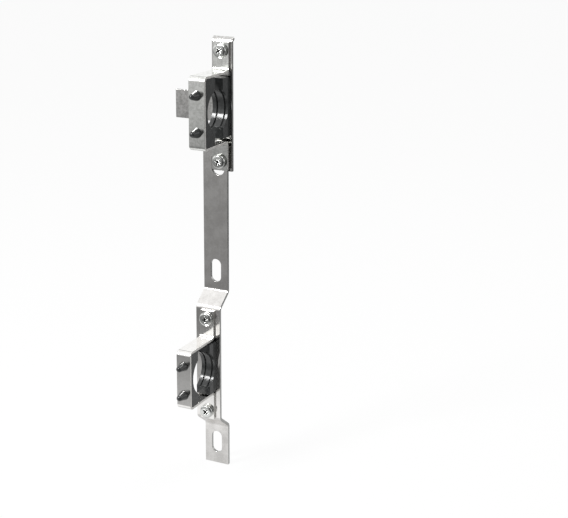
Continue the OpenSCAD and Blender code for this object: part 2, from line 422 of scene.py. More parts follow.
@dataclass(frozen=True)
class BrightZinc(TwoTone):
    """Bright zinc of small turned and headed fasteners."""

    smooth: float = 0.14
    spread: float = 0.14
    stain: float = 1.6 * MM
    mark: float = 0.25 * MM
    mark_squeeze: float = 0.15
    tone_window: Window = (0.36, 0.62)
    relief: float = 0.02 * MM
    relief_strength: float = 0.1

    def shade(self, graph: Graph) -> Val:
        """Slight stains and handling marks over a bright skin.

        Args:
            graph: The material's nodes.

        Returns:
            The shader.
        """
        stain = graph.noise(graph.place(), self.stain, detail=3.0, roughness=0.6)
        marks = graph.noise(graph.place((1.0, self.mark_squeeze, 1.0)), self.mark)
        tone = graph.window(0.7 * stain + 0.3 * marks, self.tone_window)
        normal = graph.bump(0.5 * stain + 0.5 * marks, self.relief_strength, self.relief)
        return self.surface(graph, tone, self.smooth + self.spread * (1 - tone), normal, Metallic=1.0)


@dataclass(frozen=True)
class PaleFloor(Finish):
    """Pale sheet under the part: white to the eye, in paler and greyer stretches as metal mirrors it."""

    colour: Colour = (0.93, 0.93, 0.93)
    eye_share: float = 0.93
    right_shade: tuple[Stop, Stop] = ((0.04, 0.0), (0.2, 0.8))
    front_edge: Window = (0.0, 0.05)
    levels: tuple[Stop, ...] = (
        (-2.5, 0.28), (-0.6, 0.22), (-0.35, 0.5), (-0.1, 0.6), (0.06, 0.7), (0.1, 0.95), (0.15, 0.95),
        (0.22, 0.42), (0.27, 0.38), (0.38, 0.2), (0.55, 0.26), (1.1, 0.27), (1.75, 0.47), (2.5, 0.58))

    def shade(self, graph: Graph) -> Val:
        """A diffuse sheet that glows white to the eye, and in stretches to a mirror.

        Args:
            graph: The material's nodes.

        Returns:
            The shader.
        """
        seen, mirrored = graph.sight()
        away = graph.along(graph.place(), TOWARDS_FRONT)
        aside = graph.along(graph.place(), TOWARDS_RIGHT)
        ahead = graph.along(graph.place(), AHEAD)
        start = self.levels[0][0]
        span = self.levels[-1][0] - start
        stops = [((place - start) / span, level) for place, level in self.levels]
        shade = graph.ramp(aside, *self.right_shade) * graph.window(ahead, self.front_edge)
        level = seen + mirrored * (1 - shade) * graph.ramp((away - start) * (1 / span), *stops)
        glow = graph.node("ShaderNodeEmission", None, {"Color": graph.blend(level, BLACK, WHITE)})
        sheet = graph.node("ShaderNodeBsdfDiffuse", None, {"Color": (*self.colour, 1.0)})
        share = self.eye_share * seen + mirrored
        return graph.node("ShaderNodeMixShader", None, {0: share, 1: sheet, 2: glow})


STRIP_STEEL = PlatedSheet("strip_plating", (0.78, 0.765, 0.745), (0.95, 0.935, 0.915), mottle_share=0.3)
# Painted shade: the back plate gets a darker copy of the plating, standing in for the shade and dark
# reflections on it behind the upper foot
PLATE_STEEL_PAINTED_SHADE = PlatedSheet("plate_plating_painted_shade", (0.50, 0.495, 0.48), (0.80, 0.79, 0.775), relief=0.03 * MM)
MOTTLED_STEEL = PlatedSheet("mottled_plating", (0.72, 0.73, 0.70), (0.985, 0.99, 0.965), relief=0.02 * MM)
SMOOTH_STEEL = PlatedSheet("smooth_plating", (0.89, 0.88, 0.86), (0.98, 0.97, 0.95))
# Painted dark reflection: the cut edges of the strip and the back plate get a dark colour that stands in for
# the dark surroundings they mirror
STRIP_EDGE_PAINTED_DARK = ShearedEdge("strip_cut_edge_painted_dark", (0.40, 0.40, 0.39), (0.60, 0.60, 0.585))
SADDLE_EDGE = ShearedEdge("saddle_cut_edge", (0.74, 0.73, 0.70), (0.96, 0.945, 0.92), dull=0.4)
RUBBER = MouldedRubber("moulded_rubber", (0.020, 0.021, 0.021), (0.044, 0.046, 0.046))
# Painted shade: a dark copy of the fastener zinc on the walls of the cross recess stands in for the shade
# inside it
RECESS_PAINTED_SHADE = BrightZinc("recess_painted_shade", (0.10, 0.10, 0.098), (0.30, 0.30, 0.29))
ZINC = BrightZinc("fastener_zinc", (0.66, 0.66, 0.63), (0.90, 0.90, 0.87))


class Bench:
    """Hand-modelling moves, on one piece at a time."""

    @staticmethod
    def close() -> None:
        """Leave edit mode."""
        bpy.ops.object.mode_set(mode="OBJECT")

    @staticmethod
    def select_all() -> None:
        """Select all of the mesh that is being edited."""
        bpy.ops.mesh.select_all(action="SELECT")

    @staticmethod
    def settle() -> None:
        """Apply the selected piece's place, turn and scale to its mesh."""
        bpy.ops.object.transform_apply(location=True, rotation=True, scale=True)

    @staticmethod
    def clear() -> None:
        """Leave edit mode and deselect every object."""
        active = bpy.context.view_layer.objects.active
        if active is not None and active.mode != "OBJECT":
            Bench.close()
        bpy.ops.object.select_all(action="DESELECT")

    @staticmethod
    def take(piece: bpy.types.Object) -> None:
        """Make a piece the only selected one, and the active one.

        Args:
            piece: The piece to work on.
        """
        Bench.clear()
        piece.select_set(True)
        bpy.context.view_layer.objects.active = piece

    @staticmethod
    def edit(piece: bpy.types.Object) -> None:
        """Open a piece in edit mode with all of it selected.

        Args:
            piece: The piece to work on.
        """
        Bench.take(piece)
        bpy.ops.object.mode_set(mode="EDIT")
        Bench.select_all()

    @staticmethod
    def pick(piece: bpy.types.Object, kind: Pick, test: Callable[[Vector, Vector], bool]) -> None:
        """Select points, edges or faces in edit mode.

        Args:
            piece: The piece to work on.
            kind: What to select.
            test: Says from an item's middle and normal whether it is wanted.
        """
        Bench.edit(piece)
        bpy.ops.mesh.select_mode(type=kind.value)
        bpy.ops.mesh.select_all(action="DESELECT")
        Bench.close()
        mesh = piece.data
        if kind is Pick.POINTS:
            for point in mesh.vertices:
                point.select = test(point.co, point.normal)
        elif kind is Pick.EDGES:
            for edge in mesh.edges:
                ends = [mesh.vertices[i] for i in edge.vertices]
                edge.select = test((ends[0].co + ends[1].co) / 2, ends[0].normal)
        else:
            for face in mesh.polygons:
                face.select = test(face.center, face.normal)
        bpy.ops.object.mode_set(mode="EDIT")

    @staticmethod
    def seed(name: str, at: Vector) -> bpy.types.Object:
        """Start a piece as one selected point in edit mode.

        Args:
            name: The piece's name.
            at: Where the point is.

        Returns:
            The new piece.
        """
        Bench.clear()
        bpy.ops.mesh.primitive_plane_add(size=MM)
        piece = bpy.context.object
        piece.name = name
        piece.data.name = name
        bpy.ops.object.mode_set(mode="EDIT")
        bpy.ops.mesh.select_mode(type=Pick.POINTS.value)
        Bench.select_all()
        bpy.ops.mesh.merge(type="CENTER")
        bpy.ops.transform.translate(value=at)
        return piece

    @staticmethod
    def grow(step: Vector) -> None:
        """Draw the selected tip on by a step."""
        bpy.ops.mesh.extrude_region_move(TRANSFORM_OT_translate={"value": step})

    @staticmethod
    def swing(centre: Vector, degrees: float, axis: Direction, steps: int) -> None:
        """Draw the selection round an axis by a right-handed angle."""
        bpy.ops.mesh.spin(steps=steps, angle=-math.radians(degrees), center=centre, axis=axis)

    @staticmethod
    def draw(name: str, points: Sequence[Vector]) -> bpy.types.Object:
        """Draw a line from point to point, and leave all of it selected in edit mode.

        Args:
            name: The piece's name.
            points: The line's points.

        Returns:
            The new piece.
        """
        piece = Bench.seed(name, points[0])
        for before, after in zip(points, points[1:]):
            Bench.grow(after - before)
        Bench.select_all()
        return piece

    @staticmethod
    def outward() -> None:
        """Merge doubles in edit mode and turn the faces outwards."""
        Bench.select_all()
        bpy.ops.mesh.remove_doubles(threshold=MERGE)
        bpy.ops.mesh.normals_make_consistent(inside=False)

    @staticmethod
    def modify(piece: bpy.types.Object, kind: str, **settings: object) -> None:
        """Add a modifier and apply it.

        Args:
            piece: The piece to work on.
            kind: The modifier's type.
            settings: The modifier's properties.
        """
        Bench.take(piece)
        modifier = piece.modifiers.new(kind.title(), kind)
        for key, value in settings.items():
            setattr(modifier, key, value)
        bpy.ops.object.modifier_apply(modifier=modifier.name)

    @staticmethod
    def discard(piece: bpy.types.Object) -> None:
        """Delete a piece that was only a tool.

        Args:
            piece: The piece to delete.
        """
        Bench.clear()
        mesh = piece.data
        bpy.data.objects.remove(piece, do_unlink=True)
        bpy.data.meshes.remove(mesh)

    @staticmethod
    def combine(piece: bpy.types.Object, tool: bpy.types.Object, how: Join) -> None:
        """Cut a tool from a piece, add it or keep what both share, and delete the tool."""
        Bench.modify(piece, "BOOLEAN", object=tool, operation=how.value, solver="EXACT")
        Bench.discard(tool)

    @staticmethod
    def coat(piece: bpy.types.Object, *finishes: Finish) -> None:
        """Give a piece its finishes in place of any others.

        Args:
            piece: The piece to coat.
            finishes: The finishes, in the order of their slots.
        """
        piece.data.materials.clear()
        for finish in finishes:
            piece.data.materials.append(finish.material())

    @staticmethod
    def punch(piece: bpy.types.Object, cutters: Sequence[bpy.types.Object], face: Finish,
              wall: Finish) -> None:
        """Cut holes into a piece that has two finishes, with the second one on their walls.

        Args:
            piece: The piece to cut.
            cutters: The tools, which are used up.
            face: Finish of the piece's faces.
            wall: Finish of the holes' walls.
        """
        for cutter in cutters:
            Bench.coat(cutter, face, wall)
            for polygon in cutter.data.polygons:
                polygon.material_index = 1
            Bench.combine(piece, cutter, Join.CUT)

    @staticmethod
    def place(piece: bpy.types.Object, at: Vector, turn: float = 0.0, axis: str = "Z") -> None:
        """Turn a finished mesh about the origin, move it, and apply both.

        Args:
            piece: The piece to move.
            at: Where its own origin goes.
            turn: Angle in degrees.
            axis: The axis that it turns about.
        """
        Bench.take(piece)
        piece.matrix_world = Matrix.Translation(at) @ Matrix.Rotation(math.radians(turn), 4, axis)
        Bench.settle()

    @staticmethod
    def copy(piece: bpy.types.Object, name: str) -> bpy.types.Object:
        """Copy a piece, with a mesh of its own.

        Args:
            piece: The piece to copy.
            name: The copy's name.

        Returns:
            The copy.
        """
        Bench.take(piece)
        bpy.ops.object.duplicate(linked=False)
        twin = bpy.context.object
        twin.name = name
        twin.data.name = name
        return twin

    @staticmethod
    def lathe(name: str, profile: Sequence[tuple[float, float]], facets: int) -> bpy.types.Object:
        """Turn a profile about the Y axis.

        Args:
            name: The piece's name.
            profile: Radii with their places along Y, from axis to axis.
            facets: Facets of a full turn.

        Returns:
            The turned piece.
        """
        piece = Bench.draw(name, [Vector((radius, along, 0.0)) for radius, along in profile])
        Bench.swing(Vector(ORIGIN), FULL_TURN, Y_AXIS, facets)
        Bench.outward()
        Bench.close()
        return piece

    @staticmethod
    def pin(name: str, across: float, at: Vector, depth: float, run: float = 0.0) -> bpy.types.Object:
        """A round or long cutter along Y.

        Args:
            name: The cutter's name.
            across: Its width.
            at: Its middle.
            depth: Its length along Y.
            run: How far its two round ends stand apart along Z.

        Returns:
            The cutter.
        """
        facets = 56
        Bench.clear()
        bpy.ops.mesh.primitive_cylinder_add(vertices=facets, radius=across / 2, depth=depth,
                                            rotation=(math.pi / 2, math.pi / facets, 0))
        piece = bpy.context.object
        piece.name = name
        Bench.settle()
        for end in (-1, 1):
            Bench.pick(piece, Pick.POINTS, lambda place, _: place.z * end > 0)
            bpy.ops.transform.translate(value=(0, 0, end * run / 2))
        Bench.close()
        Bench.place(piece, at)
        return piece

    @staticmethod
    def soften(piece: bpy.types.Object, width: float, segments: int = 2, limit: float = 32) -> None:
        """Round a piece's sharp edges and even out its shading.

        Args:
            piece: The piece to finish.
            width: Width of the rounding.
            segments: Facets across it.
            limit: Angle in degrees from which an edge counts as sharp.
        """
        Bench.modify(piece, "BEVEL", width=width, segments=segments, limit_method="ANGLE",
                     angle_limit=math.radians(limit), miter_outer="MITER_ARC")
        bpy.ops.object.shade_smooth()
        Bench.modify(piece, "WEIGHTED_NORMAL", keep_sharp=True)


@dataclass(frozen=True)
class Run:
    """A flat length of a bent sheet."""

    length: float


@dataclass(frozen=True)
class Bend:
    """A bend of a sheet; a positive angle turns it towards its front."""

    inner_radius: float
    angle: float


@dataclass(frozen=True)
class BentSheet:
    """Sheet metal that rises from a point of its back face through runs and bends."""

    width: float
    thickness: float
    start: Vector
    steps: tuple[Run | Bend, ...]
    bend_facets: int = 14
    corner: float = 0.4 * MM
    corner_facets: int = 5
    edge_round: float = 0.3 * MM
    screw_hole: float = 6.6 * MM
    neck_hole: float = 6.4 * MM

    def flat_face(self, name: str) -> bpy.types.Object:
        """Draw the sheet's back face.

        Args:
            name: The piece's name.

        Returns:
            The open sheet in edit mode.
        """
        at = self.start - Vector((self.width / 2, 0, 0))
        heading = math.pi / 2
        piece = Bench.seed(name, at)
        for step in self.steps:
            along = Vector((0, math.cos(heading), math.sin(heading)))
            front = Vector((0, -math.sin(heading), math.cos(heading)))
            if isinstance(step, Run):
                Bench.grow(along * step.length)
                at = at + along * step.length
                continue
            side = self.thickness + step.inner_radius if step.angle > 0 else -step.inner_radius
            centre = at + front * side
            Bench.swing(centre, step.angle, X_AXIS, self.bend_facets)
            at = centre + Matrix.Rotation(math.radians(step.angle), 3, "X") @ (at - centre)
            heading += math.radians(step.angle)
        Bench.select_all()
        bpy.ops.mesh.extrude_edges_move(TRANSFORM_OT_translate={"value": (self.width, 0, 0)})
        return piece

    def round_corners(self, piece: bpy.types.Object, places: Sequence[tuple[float, float]]) -> None:
        """Round corners of the open sheet.

        Args:
            piece: The open sheet.
            places: The corners' X and Z.
        """
        Bench.pick(piece, Pick.POINTS, lambda place, _: any(
            abs(place.x - x) + abs(place.z - z) < NEAR for x, z in places))
        bpy.ops.mesh.bevel(offset=self.corner, offset_type="OFFSET", segments=self.corner_facets,
                           affect="VERTICES")

    def thicken(self, piece: bpy.types.Object, face: Finish, edge: Finish) -> None:
        """Give the open sheet its thickness and its two finishes.

        Args:
            piece: The open sheet.
            face: Finish of the rolled faces.
            edge: Finish of the cut edges.
        """
        Bench.edit(piece)
        Bench.outward()
        Bench.close()
        lowest = min(piece.data.polygons, key=lambda polygon: polygon.center.z)
        if lowest.normal.y > 0:
            Bench.edit(piece)
            bpy.ops.mesh.flip_normals()
        Bench.coat(piece, face, edge)
        Bench.modify(piece, "SOLIDIFY", thickness=self.thickness, offset=1.0,
                     use_even_offset=True, material_offset_rim=1)

    def screw_holes(self, spots: Sequence[Vector], depth: float) -> list[bpy.types.Object]:
        """Cutters for the screws' holes."""
        return [Bench.pin("screw_hole", self.screw_hole, spot, depth) for spot in spots]

    def neck_holes(self, centre: Vector, spacing: float, depth: float) -> list[bpy.types.Object]:
        """Cutters for the necks of a pad's two studs, below and above a centre."""
        spots = [Vector((centre.x, centre.y, centre.z + side * spacing / 2)) for side in (-1, 1)]
        return [Bench.pin("neck_hole", self.neck_hole, spot, depth) for spot in spots]


def hand_over(piece: bpy.types.Object, body: str, node: str) -> None:
    """Set a finished piece on its body and in place of its solid.

    Args:
        piece: The finished piece.
        body: The body that it moves with.
        node: The solid that it stands for.
    """
    Bench.clear()
    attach(piece, body)
    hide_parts(node)
    LOG.info("%s on %s: %d faces", piece.name, body, len(piece.data.polygons))


def box(node: str) -> tuple[Vector, Vector]:
    """Lowest and highest corner of a solid's box."""
    low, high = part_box(node)
    return Vector(low), Vector(high)


def middle(node: str) -> Vector:
    """Middle of a solid's box."""
    low, high = box(node)
    return (low + high) / 2


@dataclass
class MountingStrip:
    """The slotted strip with its two joggles."""

    thickness: float = PLATE_T
    bend_radius: float = 2.5 * MM
    bend_z: float = 61.5 * MM
    slope: float = math.degrees(math.atan2(4, 3))
    slot_w: float = 9.5 * MM
    slot_l: float = 19.5 * MM
    wall_slot_z: float = 77 * MM
    adjust_w: float = 11.5 * MM
    adjust_x: float = 2.6 * MM
    pivot_rise: float = 2.5 * MM
    stud_spacing: float = LOWER_STUDS
    cut: float = 6 * MM

    def steps(self, low: Vector, high: Vector) -> tuple[Run | Bend, ...]:
        """Runs and bends from the strip's lower end to its upper one.

        Args:
            low: Lowest corner of the strip's box.
            high: Highest corner of it.

        Returns:
            The strip's steps.
        """
        joggle = high.y - low.y - self.thickness
        lean = math.radians(self.slope)
        radii = 2 * self.bend_radius + self.thickness
        slope_l = (joggle - radii * (1 - math.cos(lean))) / math.sin(lean)
        rise = radii * math.sin(lean) + slope_l * math.cos(lean)
        forward, back = Bend(self.bend_radius, self.slope), Bend(self.bend_radius, -self.slope)
        return (Run(-self.bend_z - low.z), forward, Run(slope_l), back, Run(2 * (self.bend_z - rise)),
                back, Run(slope_l), forward, Run(high.z - self.bend_z))

    def build(self) -> bpy.types.Object:
        """Bend the strip, punch it and finish its edges.

        Returns:
            The dressed strip.
        """
        low, high = box("mounting_strip")
        sheet = BentSheet(high.x - low.x, self.thickness, Vector((0, high.y, low.z)), self.steps(low, high))
        piece = sheet.flat_face("strip")
        sheet.round_corners(piece, [(x, z) for x in (low.x, high.x) for z in (low.z, high.z)])
        # The cut edges take the darkened edge colour, a painted dark reflection
        sheet.thicken(piece, STRIP_STEEL, STRIP_EDGE_PAINTED_DARK)
        wall_y = high.y - self.thickness / 2
        seat_y = low.y + self.thickness / 2
        cutters = [
            Bench.pin("wall_slot", self.slot_w, Vector((0, wall_y, side * self.wall_slot_z)), self.cut,
                      self.slot_l - self.slot_w) for side in (-1, 1)]
        adjust = Vector((self.adjust_x, wall_y, middle("upper_pivot_screw").z - self.pivot_rise))
        cutters.append(Bench.pin("adjusting_slot", self.adjust_w, adjust, self.cut,
                                 self.slot_l - self.adjust_w))
        screws = [middle(node) for node in ("lower_top_screw", "lower_bottom_screw")]
        cutters += sheet.screw_holes([Vector((0, seat_y, screw.z)) for screw in screws], self.cut)
        pad = middle("lower_rear_pad")
        cutters += sheet.neck_holes(Vector((pad.x, seat_y, pad.z)), self.stud_spacing, self.cut)
        Bench.punch(piece, cutters, STRIP_STEEL, STRIP_EDGE_PAINTED_DARK)
        Bench.soften(piece, sheet.edge_round)
        hand_over(piece, "strip", "mounting_strip")
        return piece


@dataclass
class BackPlate:
    """The upper clamp's back plate with its bent lip and its side wing."""

    thickness: float = PLATE_T
    plate_w: float = 18 * MM
    lip_radius: float = 1 * MM
    lip_angle: float = 50
    lip_l: float = 2.5 * MM
    wing_h: float = 23 * MM
    wing_drop: float = 1.5 * MM
    top_run: float = 6.5 * MM
    stud_spacing: float = UPPER_STUDS
    cut: float = 6 * MM

    def build(self) -> bpy.types.Object:
        """Bend the plate, draw out its wing, punch it and finish its edges.

        Returns:
            The dressed plate.
        """
        low, high = box("upper_back_plate")
        centre = middle("upper_saddle")
        screws = [middle(node) for node in ("upper_pivot_screw", "upper_top_screw")]
        right = high.x
        left = right - self.plate_w
        rise = screws[1].z + self.top_run - low.z
        start = Vector(((left + right) / 2, self.thickness, low.z))
        sheet = BentSheet(self.plate_w, self.thickness, start, (
            Run(rise), Bend(self.lip_radius, -self.lip_angle), Run(self.lip_l)))
        piece = sheet.flat_face("back_plate")
        wing_z = [centre.z - self.wing_drop + side * self.wing_h / 2 for side in (-1, 1)]
        for level in wing_z:
            Bench.select_all()
            bpy.ops.mesh.bisect(plane_co=(0, 0, level), plane_no=Z_AXIS)
        Bench.pick(piece, Pick.EDGES, lambda place, _: (
            abs(place.x - left) < NEAR and wing_z[0] < place.z < wing_z[1]))
        bpy.ops.mesh.extrude_edges_move(TRANSFORM_OT_translate={"value": (low.x - left, 0, 0)})
        sheet.round_corners(piece, [(low.x, level) for level in wing_z])
        # The plate's faces take the darkened plating, which is painted shade
        sheet.thicken(piece, PLATE_STEEL_PAINTED_SHADE, STRIP_EDGE_PAINTED_DARK)
        mid_y = self.thickness / 2
        cutters = sheet.screw_holes([Vector((centre.x, mid_y, screw.z)) for screw in screws], self.cut)
        cutters += sheet.neck_holes(Vector((centre.x, mid_y, centre.z)), self.stud_spacing, self.cut)
        Bench.punch(piece, cutters, PLATE_STEEL_PAINTED_SHADE, STRIP_EDGE_PAINTED_DARK)
        Bench.soften(piece, sheet.edge_round)
        hand_over(piece, "upper_plate", "upper_back_plate")
        return piece


@dataclass
class Clamp:
    """A hat-shaped saddle with the two rubber pads that line it."""

    unit: str
    low_screw: str
    pad_body: str
    seat_y: float
    foot_step: float
    stud_spacing: float
    plating: PlatedSheet
    thickness: float = 2 * MM
    bend_radius: float = 2 * MM
    plate_t: float = PLATE_T
    bar_r: float = 16.75 * MM
    pad_min: float = 2.75 * MM
    pad_corner: float = 2.6 * MM
    pad_corner_facets: int = 10
    pad_side_room: float = 0.2 * MM
    hollow_facets: int = 144
    groove_w: float = 1.5 * MM
    groove_depth: float = 1.2 * MM
    groove_shares: tuple[float, float] = (0.31, 0.8)
    neck_r: float = 3.1 * MM
    stud_r: float = 4.1 * MM
    stud_lip: float = 0.3 * MM
    stud_tip_r: float = 2.5 * MM
    stud_tip_facets: int = 6
    stud_l: float = 9 * MM
    stud_facets: int = 48
    cut: float = 12 * MM
    rubber_round: float = 0.35 * MM
    rubber_round_facets: int = 3

    def build(self) -> list[bpy.types.Object]:
        """Make the saddle and its pads."""
        return [self.saddle(), self.pad("front"), self.pad("rear")]

    def saddle(self) -> bpy.types.Object:
        """Bend the saddle, punch it and finish its edges.

        Returns:
            The dressed saddle.
        """
        node = f"{self.unit}_saddle"
        low, high = box(node)
        pad_low, pad_high = box(f"{self.unit}_front_pad")
        inside_h = pad_high.z - pad_low.z + 2 * self.pad_side_room
        outer_r = self.bend_radius + self.thickness
        centre = middle(node)
        foot = (high.z - low.z - inside_h) / 2 - outer_r
        leg = self.seat_y - low.y - self.thickness - outer_r - self.bend_radius
        out, back = Bend(self.bend_radius, 90), Bend(self.bend_radius, -90)
        start = Vector((centre.x, self.seat_y - self.foot_step, low.z))
        sheet = BentSheet(high.x - low.x, self.thickness, start, (
            Run(foot), out, Run(leg - self.foot_step), back, Run(inside_h - 2 * self.bend_radius),
            back, Run(leg), out, Run(foot)))
        piece = sheet.flat_face(node)
        sheet.round_corners(piece, [(x, z) for x in (low.x, high.x) for z in (low.z, high.z)])
        sheet.thicken(piece, self.plating, SADDLE_EDGE)
        screws = [middle(f"{self.unit}_{name}_screw") for name in ("top", self.low_screw)]
        cutters = sheet.screw_holes([Vector((centre.x, self.seat_y, screw.z)) for screw in screws], self.cut)
        cutters += sheet.neck_holes(Vector((centre.x, low.y, centre.z)), self.stud_spacing, self.cut / 2)
        Bench.punch(piece, cutters, self.plating, SADDLE_EDGE)
        Bench.soften(piece, sheet.edge_round)
        hand_over(piece, f"{self.unit}_clamp", node)
        return piece

    def stud(self, sheet_t: float) -> bpy.types.Object:
        """Turn a holding stud that points along -Y from a pad's back.

        Args:
            sheet_t: Thickness of the sheet that it goes through.

        Returns:
            The stud, with its neck sunk into the pad.
        """
        lip, tip_r = self.stud_lip, self.stud_tip_r
        soft = lip * ROUND_MID
        tip_y = -sheet_t - (self.stud_l - tip_r)
        turns = [math.radians(90 * i / self.stud_tip_facets) for i in range(self.stud_tip_facets + 1)]
        tip = [(tip_r * math.cos(turn), tip_y - tip_r * math.sin(turn)) for turn in turns]
        tip[-1] = (0.0, tip[-1][1])
        profile = [(0.0, self.pad_min / 2), (self.neck_r, self.pad_min / 2), (self.neck_r, -sheet_t),
                   (self.stud_r - lip, -sheet_t), (self.stud_r - soft, -sheet_t - soft),
                   (self.stud_r, -sheet_t - lip), *tip]
        return Bench.lathe("stud", profile, self.stud_facets)

    def pad(self, which: str) -> bpy.types.Object:
        """Mould one pad with its grooved hollow and its two studs.

        Args:
            which: The front or the rear pad.

        Returns:
            The dressed pad.
        """
        node = f"{self.unit}_{which}_pad"
        low, high = box(node)
        front = which == "front"
        sheet_t = self.thickness if front else self.plate_t
        depth = high.y - low.y - sheet_t - self.stud_l
        width, height = high.x - low.x, high.z - low.z
        piece = self.block(node, width, depth, height)
        bore_y = self.bar_r + self.pad_min
        self.hollow(piece, self.bar_r, 2 * width, 0.0, bore_y)
        for share in self.groove_shares:
            self.hollow(piece, self.bar_r + self.groove_depth, self.groove_w, width * (0.5 - share), bore_y)
        for side in (-1, 1):
            stud = self.stud(sheet_t)
            Bench.place(stud, Vector((0, 0, side * self.stud_spacing / 2)))
            Bench.combine(piece, stud, Join.ADD)
        Bench.coat(piece, RUBBER)
        Bench.soften(piece, self.rubber_round, self.rubber_round_facets)
        centre = middle(node)
        back_y = low.y + sheet_t + self.stud_l if front else high.y - sheet_t - self.stud_l
        Bench.place(piece, Vector((centre.x, back_y, centre.z)), 0 if front else FULL_TURN / 2)
        body = f"{self.unit}_clamp" if front else self.pad_body
        hand_over(piece, body, node)
        return piece

    def block(self, name: str, width: float, depth: float, height: float) -> bpy.types.Object:
        """Draw a pad's outline with rounded back corners and give it its width.

        Args:
            name: The piece's name.
            width: The pad's width.
            depth: The pad's depth from its back to its open edges.
            height: The pad's height.

        Returns:
            The plain block, its back on y = 0.
        """
        half = width / 2
        r = self.pad_corner
        piece = Bench.seed(name, Vector((-half, depth, -height / 2)))
        Bench.grow(Vector((0, r - depth, 0)))
        Bench.swing(Vector((-half, r, r - height / 2)), -90, X_AXIS, self.pad_corner_facets)
        Bench.grow(Vector((0, 0, height - 2 * r)))
        Bench.swing(Vector((-half, r, height / 2 - r)), -90, X_AXIS, self.pad_corner_facets)
        Bench.grow(Vector((0, depth - r, 0)))
        Bench.select_all()
        bpy.ops.mesh.edge_face_add()
        Bench.grow(Vector((width, 0, 0)))
        Bench.outward()
        Bench.close()
        return piece

    def hollow(self, piece: bpy.types.Object, radius: float, width: float, x: float, y: float) -> None:
        """Cut a round hollow along X.

        Args:
            piece: The pad's block.
            radius: The hollow's radius.
            width: The cut's width.
            x: The cut's middle.
            y: The hollow's centre.
        """
        Bench.clear()
        bpy.ops.mesh.primitive_cylinder_add(vertices=self.hollow_facets, radius=radius, depth=width,
                                            location=(x, y, 0), rotation=(0, math.pi / 2, 0))
        cutter = bpy.context.object
        Bench.settle()
        Bench.combine(piece, cutter, Join.CUT)


@dataclass(frozen=True)
class FastenerPlace:
    """A screw and its nut: their place, the screw's turn in degrees and the nut's body."""

    name: str
    turn: float
    nut_body: str


